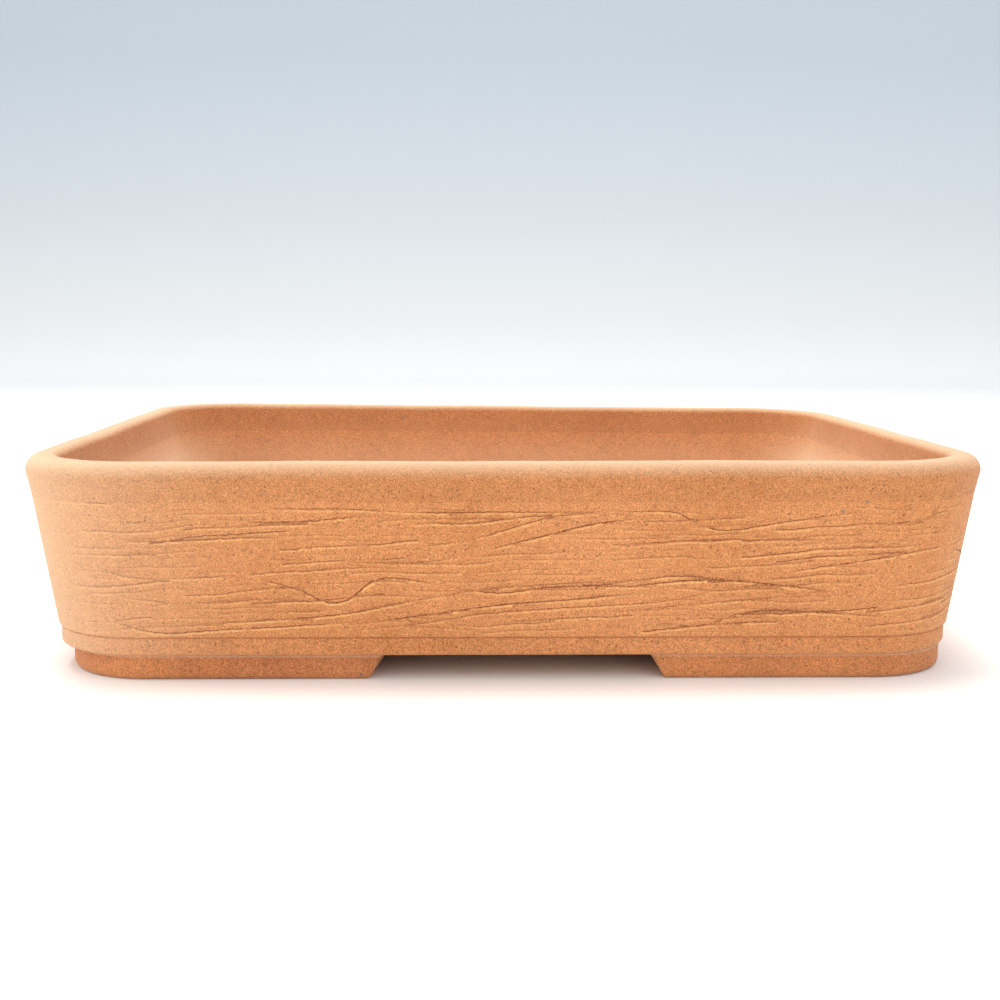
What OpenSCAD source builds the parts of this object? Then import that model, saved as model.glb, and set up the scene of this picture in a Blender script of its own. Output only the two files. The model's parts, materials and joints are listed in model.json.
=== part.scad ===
// Slab-built rectangular bonsai pot in unglazed stoneware.
//
// Origin: centre of the table plane under the pot. +X is to the right, -Y is the front, +Z is up.
// All sizes are in millimetres.
//
// The pot is put together the way a potter builds it: a floor slab, four wall slabs mitred at the
// rounded corners, four lip strips laid along the wall tops, four coils pressed into the inner seam
// between wall and floor, and four corner feet under the floor slab.

/* [Overall] */
// Width of the pot across the lip, left to right
pot_width = 310; // [240:1:420]
// Depth of the pot across the lip, front to back
pot_depth = 250; // [190:1:360]
// Height from the table to the top of the lip
pot_height = 70; // [50:1:120]
// Plan radius of the lip's outer corners
corner_radius = 40; // [34:1:60]

/* [Lip strips] */
// Thickness of the round-topped lip
lip_thickness = 10; // [8:0.5:14]
// Height of the lip strip, from the top of the wall slabs to the top of the pot
lip_height = 12; // [9:0.5:18]
// How far the lip stands out past the top of the wall's outer face
lip_overhang = 1.5; // [0.5:0.1:3]

/* [Wall slabs] */
// Thickness of the wall slabs, measured level
wall_thickness = 9; // [6:0.5:12]
// How far the wall's outer face leans in, from its top down to the floor seam
wall_lean = 7; // [2:0.5:11]
// Depth of the line scored along the seam between the wall slabs and the floor slab
seam_score = 0.6; // [0.3:0.1:1.5]

/* [Floor slab] */
// Thickness of the floor slab
floor_thickness = 6; // [5:0.5:12]
// How far the floor slab's edge stands back from the wall's outer face at the seam
floor_setback = 0.8; // [0:0.1:2]
// Radius of the floor slab's rounded lower edge
floor_edge_radius = 2; // [1:0.25:4]

/* [Drainage] */
// Diameter of the two drain holes
drain_hole_diameter = 24; // [12:1:34]
// Distance between the centres of the drain holes
drain_hole_spacing = 140; // [90:1:180]
// Diameter of the four tie-wire holes
wire_hole_diameter = 5; // [3:0.5:8]
// Distance from the inner side of a foot to the centre of the nearest tie-wire hole
wire_hole_inset = 23; // [8:1:30]

/* [Feet] */
// Height of the feet under the floor slab
foot_height = 8.3; // [6:0.1:15]
// How far the feet stand back from the floor slab's edge
foot_setback = 2.5; // [1:0.5:6]
// Width of a foot, from its outer side to its inner side
foot_width = 20; // [12:1:25]
// Clear gap between the two front feet, and between the two rear feet, at the table
front_gap = 88; // [50:1:120]
// Clear gap between the two feet on the left side, and on the right side, at the table
side_gap = 80; // [40:1:100]
// How far each end of a foot slopes under, from the floor slab down to the table
foot_end_slope = 2.7; // [0:0.1:6]
// Radius of the feet's outer edge at the table
foot_edge_radius = 1.5; // [0.5:0.25:3]

/* [Seam coils] */
// Width of a seam coil's flat sides, along the floor and up the wall
coil_width = 8; // [4:0.5:12]
// Depth of the hollow that a thumb leaves along the coil's face
coil_hollow = 1.5; // [0.5:0.1:2]

/* [Hidden] */
$fn = 96;
// Every section below is drawn in (reach, height): reach is the level distance outwards from the
// corner centres, which are the same four upright axes at every height.
run_x = pot_width - 2 * corner_radius;
run_y = pot_depth - 2 * corner_radius;
seam_height = foot_height + floor_thickness;
wall_top = pot_height - lip_height;
wall_rise = wall_top - seam_height;
wall_slope = wall_lean / wall_rise;

// Reach of each outer face
wall_top_reach = corner_radius - lip_overhang;
seam_reach = wall_top_reach - wall_lean;
floor_reach = seam_reach - floor_setback;
foot_reach = floor_reach - foot_setback;

// Places of the tie-wire holes, measured from the middle of the pot
foot_inner_reach = foot_reach - foot_width;
wire_hole_x = run_x / 2 + foot_inner_reach - wire_hole_inset;
wire_hole_y = run_y / 2 + foot_inner_reach - wire_hole_inset;

// Length that cutting tools run past the faces they cut
overcut = 1;

clay = "#d1955f";
clay_lip = "#e2ad7a";
clay_inside = "#c98a56";
clay_under = "#b97c4b";

// ---------------------------------------------------------------- building helpers

// Runs a section along the front of the pot, round half of each neighbouring corner.
// run is the straight length between the corner centres and out is their distance from the middle.
module along_front(run, out) {
    half_corner = 45;
    translate([0, -out, 0]) {
        rotate([90, 0, -90]) linear_extrude(height = run, center = true) children();
        translate([-run / 2, 0, 0])
            rotate([0, 0, 270 - half_corner]) rotate_extrude(angle = half_corner) children();
        translate([run / 2, 0, 0])
            rotate([0, 0, 270]) rotate_extrude(angle = half_corner) children();
    }
}

module along_side(side) {
    if (side == "front") along_front(run_x, run_y / 2) children();
    if (side == "rear") rotate([0, 0, 180]) along_front(run_x, run_y / 2) children();
    if (side == "left") rotate([0, 0, -90]) along_front(run_y, run_x / 2) children();
    if (side == "right") rotate([0, 0, 90]) along_front(run_y, run_x / 2) children();
}

// ---------------------------------------------------------------- sections

// Round-topped strip that sits on the wall slab.
module lip_section() {
    round_radius = lip_thickness / 2;
    round_height = pot_height - round_radius;
    translate([corner_radius - round_radius, round_height]) circle(r = round_radius);
    polygon([
        [wall_top_reach - wall_thickness, wall_top],
        [wall_top_reach, wall_top],
        [corner_radius, round_height],
        [corner_radius - lip_thickness, round_height]
    ]);
}

// Leaning slab, with its lower outer edge bevelled to make the upper half of the scored line.
module wall_section() {
    polygon([
        [seam_reach - wall_thickness, seam_height],
        [seam_reach - seam_score, seam_height],
        [seam_reach + seam_score * wall_slope, seam_height + seam_score],
        [wall_top_reach, wall_top],
        [wall_top_reach - wall_thickness, wall_top]
    ]);
}

// Section of the floor slab: bevelled above for the scored line and rounded below.
module floor_section() {
    difference() {
        polygon([
            [0, foot_height],
            [floor_reach, foot_height],
            [floor_reach, seam_height - seam_score],
            [floor_reach - seam_score, seam_height],
            [0, seam_height]
        ]);
        translate([floor_reach - floor_edge_radius, foot_height]) difference() {
            translate([0, -overcut]) square([floor_edge_radius + overcut, floor_edge_radius + overcut]);
            translate([0, floor_edge_radius]) circle(r = floor_edge_radius);
        }
    }
}

// Coil that fills the angle between the floor and the leaning inner face of the wall, with its
// face hollowed by an arc through the two ends of its flat sides.
module coil_section() {
    corner = [seam_reach - wall_thickness, seam_height];
    lean = atan(wall_slope);
    floor_end = corner + [-coil_width, 0];
    wall_end = corner + coil_width * [sin(lean), cos(lean)];
    half_chord = norm(wall_end - floor_end) / 2;
    face_radius = (half_chord * half_chord + coil_hollow * coil_hollow) / (2 * coil_hollow);
    inward = [-cos(lean / 2 - 45), -sin(lean / 2 - 45)];
    difference() {
        polygon([floor_end, corner, wall_end]);
        translate((floor_end + wall_end) / 2 + (face_radius - coil_hollow) * inward)
            circle(r = face_radius);
    }
}

// Foot, square but for its rounded outer edge at the table.
module foot_section() {
    difference() {
        translate([foot_inner_reach, 0]) square([foot_width, foot_height]);
        translate([foot_reach - foot_edge_radius, 0]) difference() {
            translate([0, -overcut]) square([foot_edge_radius + overcut, foot_edge_radius + overcut]);
            translate([0, foot_edge_radius]) circle(r = foot_edge_radius);
        }
    }
}

// ---------------------------------------------------------------- pieces

// Floor slab without its holes: a round-cornered rectangle whose edge has the floor section.
module floor_blank() {
    for (x = [-1, 1], y = [-1, 1])
        translate([x * run_x / 2, y * run_y / 2, 0]) rotate_extrude() floor_section();
    for (turn = [0, 180]) {
        rotate([0, 0, turn]) translate([0, -run_y / 2, 0])
            rotate([90, 0, -90]) linear_extrude(height = run_x, center = true) floor_section();
        rotate([0, 0, turn + 90]) translate([0, -run_x / 2, 0])
            rotate([90, 0, -90]) linear_extrude(height = run_y, center = true) floor_section();
    }
    translate([-run_x / 2, -run_y / 2, foot_height]) cube([run_x, run_y, floor_thickness]);
}

module floor_slab() {
    color(clay_inside) difference() {
        floor_blank();
        for (x = [-1, 1]) {
            translate([x * drain_hole_spacing / 2, 0, foot_height - overcut])
                cylinder(d = drain_hole_diameter, h = floor_thickness + 2 * overcut);
            for (y = [-1, 1])
                translate([x * wire_hole_x, y * wire_hole_y, foot_height - overcut])
                    cylinder(d = wire_hole_diameter, h = floor_thickness + 2 * overcut);
        }
    }
}

module wall(side) {
    color(clay) along_side(side) wall_section();
}

module lip(side) {
    color(clay_lip) along_side(side) lip_section();
}

module seam_coil(side) {
    color(clay_inside) along_side(side) coil_section();
}

// One arm of a foot, along +X from the corner centre, facing -Y, with its sloping end.
module foot_arm(run, gap) {
    table_length = (run - gap) / 2;
    top_length = table_length + foot_end_slope;
    intersection() {
        rotate([90, 0, 90]) mirror([1, 0, 0]) linear_extrude(height = top_length) foot_section();
        translate([0, -foot_inner_reach + overcut, 0]) rotate([90, 0, 0])
            linear_extrude(height = foot_width + 2 * overcut) polygon([
                [0, 0],
                [table_length, 0],
                [top_length, foot_height],
                [0, foot_height]
            ]);
    }
}

// L-shaped foot under the front left corner: a quarter ring with an arm along each side.
module corner_foot() {
    color(clay_under) translate([-run_x / 2, -run_y / 2, 0]) {
        rotate([0, 0, 180]) rotate_extrude(angle = 90) foot_section();
        foot_arm(run_x, front_gap);
        mirror([1, -1, 0]) foot_arm(run_y, side_gap);
    }
}

module foot_front_left() { corner_foot(); }
module foot_front_right() { mirror([1, 0, 0]) corner_foot(); }
module foot_rear_left() { mirror([0, 1, 0]) corner_foot(); }
module foot_rear_right() { rotate([0, 0, 180]) corner_foot(); }

// ---------------------------------------------------------------- the pot

floor_slab();
wall("front");  // front_wall
wall("rear");  // rear_wall
wall("left");  // left_wall
wall("right");  // right_wall
lip("front");  // front_lip
lip("rear");  // rear_lip
lip("left");  // left_lip
lip("right");  // right_lip
seam_coil("front");  // front_seam_coil
seam_coil("rear");  // rear_seam_coil
seam_coil("left");  // left_seam_coil
seam_coil("right");  // right_seam_coil
foot_front_left();
foot_front_right();
foot_rear_left();
foot_rear_right();
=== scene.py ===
# %% [markdown]
# # A slab-built bonsai pot
#
# This lesson dresses a shallow rectangular pot for miniature trees. The real pot is built by hand from
# a gritty, iron-bearing stoneware: a rolled floor slab, four leaning wall slabs mitred at the round
# corners, a rolled lip, four corner feet, and a coil pressed into the inner seam. It is fired without
# a glaze, so everything the eye reads comes from the clay itself: its sand, its warm toasted colour and
# the ragged level lines that were dragged round the walls while the clay was leather hard.
#
# The CAD model holds the sizes. Here each CAD piece is replaced by a finely divided copy of itself, and
# the marks are cut into that copy as real geometry.

import json
import math

import bpy
import numpy as np
from mathutils import Matrix, Vector, geometry


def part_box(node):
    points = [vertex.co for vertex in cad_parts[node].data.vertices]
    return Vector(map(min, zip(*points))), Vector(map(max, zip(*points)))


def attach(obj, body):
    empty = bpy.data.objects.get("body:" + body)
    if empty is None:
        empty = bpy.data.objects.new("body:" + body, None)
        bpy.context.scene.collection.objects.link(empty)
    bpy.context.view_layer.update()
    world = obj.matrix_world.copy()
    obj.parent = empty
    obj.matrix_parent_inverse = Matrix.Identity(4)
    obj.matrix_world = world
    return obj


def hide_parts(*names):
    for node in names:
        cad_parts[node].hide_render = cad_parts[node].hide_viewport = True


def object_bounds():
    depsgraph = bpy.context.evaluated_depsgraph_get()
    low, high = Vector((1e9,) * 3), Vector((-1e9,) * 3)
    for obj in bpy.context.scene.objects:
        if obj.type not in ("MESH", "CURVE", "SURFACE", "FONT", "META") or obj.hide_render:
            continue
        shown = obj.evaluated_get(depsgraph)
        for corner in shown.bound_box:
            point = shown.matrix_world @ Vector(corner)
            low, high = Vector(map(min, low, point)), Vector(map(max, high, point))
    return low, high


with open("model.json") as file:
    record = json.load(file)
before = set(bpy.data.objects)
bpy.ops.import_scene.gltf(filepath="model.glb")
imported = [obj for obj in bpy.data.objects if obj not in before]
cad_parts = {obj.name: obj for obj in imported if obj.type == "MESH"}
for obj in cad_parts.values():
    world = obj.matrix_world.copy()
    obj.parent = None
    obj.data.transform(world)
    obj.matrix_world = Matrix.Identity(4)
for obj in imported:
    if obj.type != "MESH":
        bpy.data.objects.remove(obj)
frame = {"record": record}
cad_low, cad_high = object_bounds()
MM = 0.001
print("CAD box in mm:", [round(v / MM, 1) for v in (*cad_low, *cad_high)])

# %% [markdown]
# ## Sizes taken from the CAD pieces
#
# What a piece's box shows is read from the frame. Only thicknesses and the like, which no box shows, are
# given again here. The pot's corners turn about four upright axes, and every surface is described by its
# reach, the level distance out from those axes, and its height. A lip strip ends half way round each
# corner, so the width of the strip and the width of the pot give the corner's radius.

# %% Measure the pot
slab_low, slab_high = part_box("floor_slab")
wall_low, wall_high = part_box("front_wall")
lip_low, lip_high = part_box("front_lip")
foot_low, foot_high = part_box("foot_front_left")

pot_height = cad_high.z
foot_height = slab_low.z
seam_height = slab_high.z
wall_top = wall_high.z
pot_width = cad_high.x - cad_low.x
pot_depth = cad_high.y - cad_low.y
corner_radius = (pot_width - (lip_high.x - lip_low.x)) / (2 - math.sqrt(2))
run_x = pot_width - 2 * corner_radius
run_y = pot_depth - 2 * corner_radius

wall_reach = -wall_low.y - run_y / 2
slab_reach = -slab_low.y - run_y / 2
foot_reach = -foot_low.y - run_y / 2
seam_step_out = 0.8 * MM
seam_reach = slab_reach + seam_step_out

lip_thickness = 10 * MM
wall_thickness = 9 * MM
foot_width = 20 * MM
print("corner radius", round(corner_radius / MM, 2), "reaches", [round(v / MM, 2) for v in
      (corner_radius, wall_reach, seam_reach, slab_reach, foot_reach)])

# %% [markdown]
# ## Walking round the pot
#
# A side of the pot is a straight run with half a corner at each end. `columns` walks along one side and
# returns, for every column of vertices, the point that it turns about, the direction in which it
# faces, and the distance walked round the pot from the middle of the front. That distance lets a mark
# be drawn on the unrolled wall, as on a strip of paper, and then wrapped round the corners. Corners are
# unrolled at one reach, a little below the middle of the wall, because the wall leans outwards.

# %% Columns along a side
SIDES = ("front", "right", "rear", "left")
unroll_reach = 36 * MM
half_corner = unroll_reach * math.pi / 4
middle_of_side = {
    "front": 0.0,
    "right": run_x / 2 + 2 * half_corner + run_y / 2,
    "rear": run_x + 4 * half_corner + run_y,
    "left": -(run_x / 2 + 2 * half_corner + run_y / 2),
}
distance_round = 2 * (run_x + run_y) + 8 * half_corner


def columns(side, step):
    """Turning points, level facings and walked distances of the columns along one side."""
    turn = SIDES.index(side)
    run, far_out = (run_x, run_y / 2) if turn % 2 == 0 else (run_y, run_x / 2)
    facing = math.radians(90 * turn - 90)
    outward = np.array([math.cos(facing), math.sin(facing)])
    along = np.array([-outward[1], outward[0]])
    corner_steps = math.ceil(half_corner / step)
    run_steps = math.ceil(run / step)
    bend = np.linspace(-math.pi / 4, 0, corner_steps + 1)[:-1]
    place = np.concatenate([np.full(corner_steps, -0.5), np.linspace(-0.5, 0.5, run_steps + 1),
                            np.full(corner_steps, 0.5)]) * run
    angle = np.concatenate([bend, np.zeros(run_steps + 1), -bend[::-1]])
    centre = outward * far_out + place[:, None] * along
    face = np.stack([np.cos(facing + angle), np.sin(facing + angle)], axis=1)
    walked = middle_of_side[side] + place + unroll_reach * angle
    return centre, face, walked


print("distance round the wall in mm:", round(distance_round / MM))

# %% [markdown]
# ## Sections
#
# A section is the outline that a cheese wire would leave if it cut across the wall. It is a list of
# (reach, height) points with the way that each one faces. `stretch` divides a straight length and
# `bend_round` draws an arc, so a section is written as the potter would describe it.

# %% Outline helpers
def stretch(start, end, step, facing):
    """A straight length, divided into steps."""
    count = max(1, round(math.dist(start, end) / step))
    share = np.linspace(0, 1, count + 1)[:, None]
    points = np.array(start) * (1 - share) + np.array(end) * share
    return np.hstack([points, np.tile(facing, (count + 1, 1))])


def bend_round(centre, radius, start, end, count):
    """An arc between two angles in degrees, facing away from its centre."""
    angle = np.radians(np.linspace(start, end, count + 1))
    facing = np.stack([np.cos(angle), np.sin(angle)], axis=1)
    return np.hstack([np.array(centre) + radius * facing, facing])


def outline(*parts):
    """Joins stretches and bends, leaving out a point that repeats the one before it."""
    rows = np.vstack(parts)
    moved = np.abs(rows - np.roll(rows, 1, axis=0))[:, :2].max(axis=1) > 1e-7
    return rows[moved]


OUT, IN, UP, DOWN = (1, 0), (-1, 0), (0, 1), (0, -1)

# %% [markdown]
# ## The hand in it
#
# Nothing that was lifted, pressed and dried by hand is quite true. The rear of the lip sags a little to
# one side, the walls swell and pinch by a third of a millimetre, and the feet stay flat because the pot
# stood on them in the kiln. One smooth function of position does this to every piece, so pieces that
# share an edge move together and no gap opens.

# %% Hand-made warp
rear_lip_sag = 1.2 * MM
front_lip_dip = 0.4 * MM
wall_swell = 0.16 * MM
lip_ripple = 0.07 * MM


def hand_warp(points):
    """Moves points as the hand and the kiln did: nothing at the floor, and most at the lip."""
    x, y, z = points.T
    raised = np.clip((z - seam_height) / (pot_height - seam_height), 0, 1)
    back = np.clip(y / pot_depth + 0.5, 0, 1)
    right = x / pot_width * 2
    angle = np.arctan2(y / pot_depth, x / pot_width)
    swell = np.sin(3 * angle + 0.8) + 0.6 * np.sin(7 * angle + 2.1) + 0.4 * np.sin(13 * angle)
    away = np.stack([np.cos(angle), np.sin(angle)], axis=1)
    moved = points.copy()
    moved[:, :2] += away * (wall_swell * swell * raised)[:, None]
    tilt = -rear_lip_sag * back * right - front_lip_dip * (1 - back) * (1 - right)
    ripple = lip_ripple * (np.sin(9 * angle) + 0.7 * np.sin(16 * angle + 1) + 0.3 * np.sin(31 * angle))
    moved[:, 2] += raised * (tilt + ripple)
    return moved


# %% [markdown]
# ## Turning a section into a piece
#
# A mesh can carry extra values on its vertices, called attributes. Each vertex remembers four things
# for later: where it lies on the unrolled wall, which way it faces, how hard the scraper pressed there,
# and how much painted light its colour is given.

# %% Mesh helpers
def write_point_attribute(mesh, name, kind, values):
    field = {"FLOAT": "value", "FLOAT_VECTOR": "vector"}[kind]
    mesh.attributes.new(name, kind, "POINT").data.foreach_set(field, np.ravel(values).astype(np.float32))


def make_object(name, points, faces, outward, unrolled=None, scored=None, slip=None):
    mesh = bpy.data.meshes.new(name)
    mesh.from_pydata(hand_warp(np.asarray(points)).tolist(), [], faces)
    if unrolled is None:
        unrolled = np.zeros((len(points), 3))
    nothing = np.zeros(len(points))
    write_point_attribute(mesh, "unrolled", "FLOAT_VECTOR", unrolled)
    write_point_attribute(mesh, "outward", "FLOAT_VECTOR", outward)
    write_point_attribute(mesh, "scored", "FLOAT", nothing if scored is None else scored)
    write_point_attribute(mesh, "slip", "FLOAT", nothing if slip is None else slip)
    piece = bpy.data.objects.new(name, mesh)
    bpy.context.collection.objects.link(piece)
    return piece


def sweep(centre, face, section):
    """Positions and facings of a section carried past every column."""
    reach, height, face_out, face_up = section.T
    flat = centre[:, None, :] + face[:, None, :] * reach[None, :, None]
    points = np.dstack([flat, np.broadcast_to(height, flat.shape[:2])])
    level = face[:, None, :] * face_out[None, :, None]
    outward = np.dstack([level, np.broadcast_to(face_up, flat.shape[:2])])
    return points.reshape(-1, 3), outward.reshape(-1, 3)


def strip_faces(column_count, row_count, close_rows=True, close_columns=False):
    """Four-cornered faces between neighbouring columns and neighbouring rows."""
    column = np.arange(column_count if close_columns else column_count - 1)
    row = np.arange(row_count if close_rows else row_count - 1)
    i, j = (grid.ravel() for grid in np.meshgrid(column, row, indexing="ij"))
    next_i, next_j = (i + 1) % column_count, (j + 1) % row_count
    corners = (i * row_count + j, next_i * row_count + j,
               next_i * row_count + next_j, i * row_count + next_j)
    return np.stack(corners, axis=1).tolist()


# %% [markdown]
# ## Painted light and the scraper
#
# Light is painted into the colour as a pale mix. Painted bounce light makes a belt round the inside,
# stronger on the two end walls, and painted light from the left brightens the corner to the left of the
# front, where the scraper was lifted. Each of these is a smooth bump along the wall or up it, with no hard
# edge.

# %% Painted light and scraper
# Painted light from the left on the corner to the left of the front.
left_corner_light_strength = 0.75
left_corner_light_reach = 50 * MM
left_corner_light_middle = -(run_x / 2 + 1.6 * half_corner)
# Painted light on the inside walls, a belt of painted bounce light.
inner_light_strength = 0.6
end_wall_light_strength = 1.5
inner_light_height = 43 * MM
inner_light_spread = 13 * MM
lifted_at = -(run_x / 2 + 1.1 * half_corner)
lifting_length = 16 * MM
lifted_share = 0.35


def left_corner_light(walked):
    """Painted light from the left, which makes the corner to the left of the front paler."""
    return left_corner_light_strength * np.exp(-((walked - left_corner_light_middle) / left_corner_light_reach) ** 2)


def inner_painted_light(face, section):
    """Painted light on the inside walls: painted bounce light as a pale belt round them, stronger on the two
    end walls.
    """
    belt = np.exp(-((section[:, 1] - inner_light_height) / inner_light_spread) ** 2)
    at_ends = inner_light_strength + (end_wall_light_strength - inner_light_strength) * face[:, 0] ** 2
    return np.outer(at_ends, belt * (section[:, 2] < -0.5))


def tool_pressure(walked):
    """The scraper was lifted round the corner to the left of the front, which stayed smooth."""
    return np.clip(np.abs(walked - lifted_at) / lifting_length - lifted_share, 0, 1)


print("slip is thickest", round(left_corner_light_middle / MM), "mm round from the middle of the front")

# %% [markdown]
# ## Sweeping one piece
#
# `swept_piece` carries a section along a side and closes both ends, as the mitred ends of a slab are
# closed. Walls, lips and coils are all made by it, so their edges meet exactly.

# %% Swept piece
def swept_piece(name, side, section, step, scored_rows=None, painted_light_rows=0):
    """Carries a section along a side, and closes both mitred ends."""
    centre, face, walked = columns(side, step)
    points, outward = sweep(centre, face, section)
    rows = len(section)
    faces = strip_faces(len(walked), rows)
    last = (len(walked) - 1) * rows
    faces.append(list(range(rows)))
    faces.append([last + row for row in reversed(range(rows))])
    unrolled = np.zeros((len(points), 3))
    unrolled[:, 0] = np.repeat(walked, rows)
    unrolled[:, 1] = points[:, 2]
    outer_rows = np.clip(section[:, 2], 0, 1)
    # Painted light: from the left on the outer faces, on the rows that the piece is given, and inside.
    slip = np.outer(left_corner_light(walked), outer_rows) + painted_light_rows + inner_painted_light(face, section)
    scored = None if scored_rows is None else np.outer(tool_pressure(walked), scored_rows)
    return make_object(name, points, faces, outward, unrolled, scored, slip)


# %% [markdown]
# ## The wall slabs
#
# The outer face is divided every third of a millimetre in height, because the dragged lines are less
# than a millimetre wide and nearly level. Along the wall half a millimetre is enough. The inner face
# was only wiped smooth, so it needs far fewer rows. The lowest edge is cut away a little, which leaves
# the groove that is seen between wall and floor slab.

# %% Wall slabs
along_step = 0.55 * MM
line_step = 0.31 * MM
plain_step = 1.6 * MM
seam_score = 0.55 * MM


def wall_section():
    inner_top = wall_reach - wall_thickness
    inner_seam = seam_reach - wall_thickness
    return outline(
        stretch((seam_reach - seam_score, seam_height), (seam_reach, seam_height + seam_score),
                line_step, OUT),
        stretch((seam_reach, seam_height + seam_score), (wall_reach, wall_top), line_step, OUT),
        stretch((inner_top, wall_top), (inner_seam, seam_height), plain_step, IN),
    )


pieces = {}
section = wall_section()
outer_rows = (section[:, 2] > 0).astype(float)
for side in SIDES:
    name = side + "_wall"
    pieces[name] = swept_piece(name, side, section, along_step, outer_rows)
print("wall section points:", len(section), "front wall faces:", len(pieces["front_wall"].data.polygons))

# %% [markdown]
# ## The lip and the seam coils
#
# The lip is a strip with a rounded top, smoothed with a wet leather so that it feels soft to the hand.
# Its faces that look up get a painted highlight, and its inner faces a little painted light. The coil is a
# roll pressed into the angle between floor and wall, and its face is left a little hollow by the thumb.

# %% Lip strips and seam coils
lip_step = 0.5 * MM
lip_outer_round = 5 * MM
lip_inner_round = 2.4 * MM
coil_step = 0.9 * MM
coil_width = 8 * MM
coil_hollow = 1.5 * MM
lip_highlight_falloff = 1.3
lip_inner_painted_light = 0.1


def lip_section():
    inner = corner_radius - lip_thickness
    shoulder = pot_height - lip_outer_round
    return outline(
        stretch((wall_reach, wall_top), (corner_radius, shoulder), lip_step, OUT),
        bend_round((corner_radius - lip_outer_round, shoulder), lip_outer_round, 0, 90, 18),
        stretch((corner_radius - lip_outer_round, pot_height), (inner + lip_inner_round, pot_height),
                lip_step, UP),
        bend_round((inner + lip_inner_round, pot_height - lip_inner_round), lip_inner_round, 90, 180, 12),
        stretch((inner, pot_height - lip_inner_round), (wall_reach - wall_thickness, wall_top),
                lip_step, IN),
    )


def coil_section():
    slope = math.atan2(wall_reach - seam_reach, wall_top - seam_height)
    corner = np.array([seam_reach - wall_thickness, seam_height])
    floor_end = corner - np.array([coil_width, 0])
    wall_end = corner + coil_width * np.array([math.sin(slope), math.cos(slope)])
    half_chord = np.linalg.norm(wall_end - floor_end) / 2
    radius = (half_chord ** 2 + coil_hollow ** 2) / (2 * coil_hollow)
    toward_pot = math.pi - (math.pi / 4 - slope / 2)
    middle = (floor_end + wall_end) / 2 + (radius - coil_hollow) * np.array(
        [math.cos(toward_pot), math.sin(toward_pot)])
    spread = math.degrees(math.asin(half_chord / radius))
    facing_down = math.degrees(toward_pot) - 180
    face = bend_round(middle, radius, facing_down + spread, facing_down - spread, 14)
    face[:, 2:] *= -1
    back = stretch(tuple(corner), tuple(wall_end), coil_step, OUT)
    under = stretch(tuple(floor_end), tuple(corner), coil_step, DOWN)
    return outline(under, back, face)


section = lip_section()
# Painted highlight on the faces of the lip that look up, and a little painted light on its inner faces.
lip_painted_light = np.clip(section[:, 3], 0, 1) ** lip_highlight_falloff + lip_inner_painted_light * (section[:, 2] < -0.5)
for side in SIDES:
    lip_name = side + "_lip"
    coil_name = side + "_seam_coil"
    pieces[lip_name] = swept_piece(lip_name, side, section, along_step, painted_light_rows=lip_painted_light)
    pieces[coil_name] = swept_piece(coil_name, side, coil_section(), 2 * along_step)
print("lip section points:", len(section), "coil section points:", len(coil_section()))

# %% [markdown]
# ## The floor slab
#
# The edge of the slab shows as a narrow band under the walls, so it is swept like the other pieces. The
# flat faces inside it are filled with triangles between the band, the holes and a loose grid of points.
# The rims of the holes are softened, because the potter runs a finger round each hole once it is cut.

# %% Edge of the slab
floor_top_painted_light = 0.12
slab_step = 0.8 * MM
slab_grid = 4 * MM
slab_strip = 8 * MM
edge_radius = 1.2 * MM
rim_softness = 1 * MM
drain_radius = 12 * MM
drain_place = 70 * MM
drain_steps = 72
wire_radius = 2.5 * MM
wire_steps = 28
wire = frame["record"]["mounts"][-1]["dims"]
holes = [(sign * drain_place, 0.0, drain_radius, drain_steps) for sign in (-1, 1)]
holes += [(x * wire["spacing_x_mm"] / 2 * MM, y * wire["spacing_y_mm"] / 2 * MM, wire_radius, wire_steps)
          for x in (-1, 1) for y in (-1, 1)]


def slab_edge_section():
    inner = slab_reach - slab_strip
    round_middle = (slab_reach - edge_radius, foot_height + edge_radius)
    return outline(
        stretch((inner, foot_height), (round_middle[0], foot_height), slab_step, DOWN),
        bend_round(round_middle, edge_radius, -90, 0, 10),
        stretch((slab_reach, round_middle[1]), (slab_reach, seam_height - seam_score), line_step, OUT),
        stretch((slab_reach, seam_height - seam_score), (slab_reach - seam_score, seam_height),
                line_step, OUT),
        stretch((slab_reach - seam_score, seam_height), (inner, seam_height), slab_step, UP),
    )


print("slab edge points:", len(slab_edge_section()), "holes:", len(holes))

# %% Flat faces and holes of the slab
roll_mark_height = 0.12 * MM
rim_facing = 0.7


def on_the_flat(x, y, margin):
    """Whether a place lies inside the slab's edge band and clear of the holes."""
    past = Vector((max(abs(x) - run_x / 2, 0), max(abs(y) - run_y / 2, 0))).length
    clear = all(math.hypot(x - hx, y - hy) > r + rim_softness + margin for hx, hy, r, _ in holes)
    return past < slab_reach - slab_strip - margin and clear


def flat_fill(loops):
    """Triangles between closed loops of points, with a grid of extra points inside them."""
    across = np.arange(-pot_width / 2, pot_width / 2, slab_grid)
    grid = [(x, y) for x in across for y in across if on_the_flat(x, y, slab_grid / 2)]
    points = [tuple(p) for loop in loops for p in loop] + grid
    edges = []
    start = 0
    for loop in loops:
        edges += [(start + k, start + (k + 1) % len(loop)) for k in range(len(loop))]
        start += len(loop)
    _, _, triangles, kept_points, _, _ = geometry.delaunay_2d_cdt(
        [Vector(p) for p in points], edges, [], 0, 1e-7)
    source = [kept[0] for kept in kept_points]
    triangles = [[source[v] for v in triangle] for triangle in triangles]
    middles = np.array([np.mean([points[v] for v in t], axis=0) for t in triangles])
    return grid, [t for t, m in zip(triangles, middles) if on_the_flat(*m, 0)]


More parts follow.
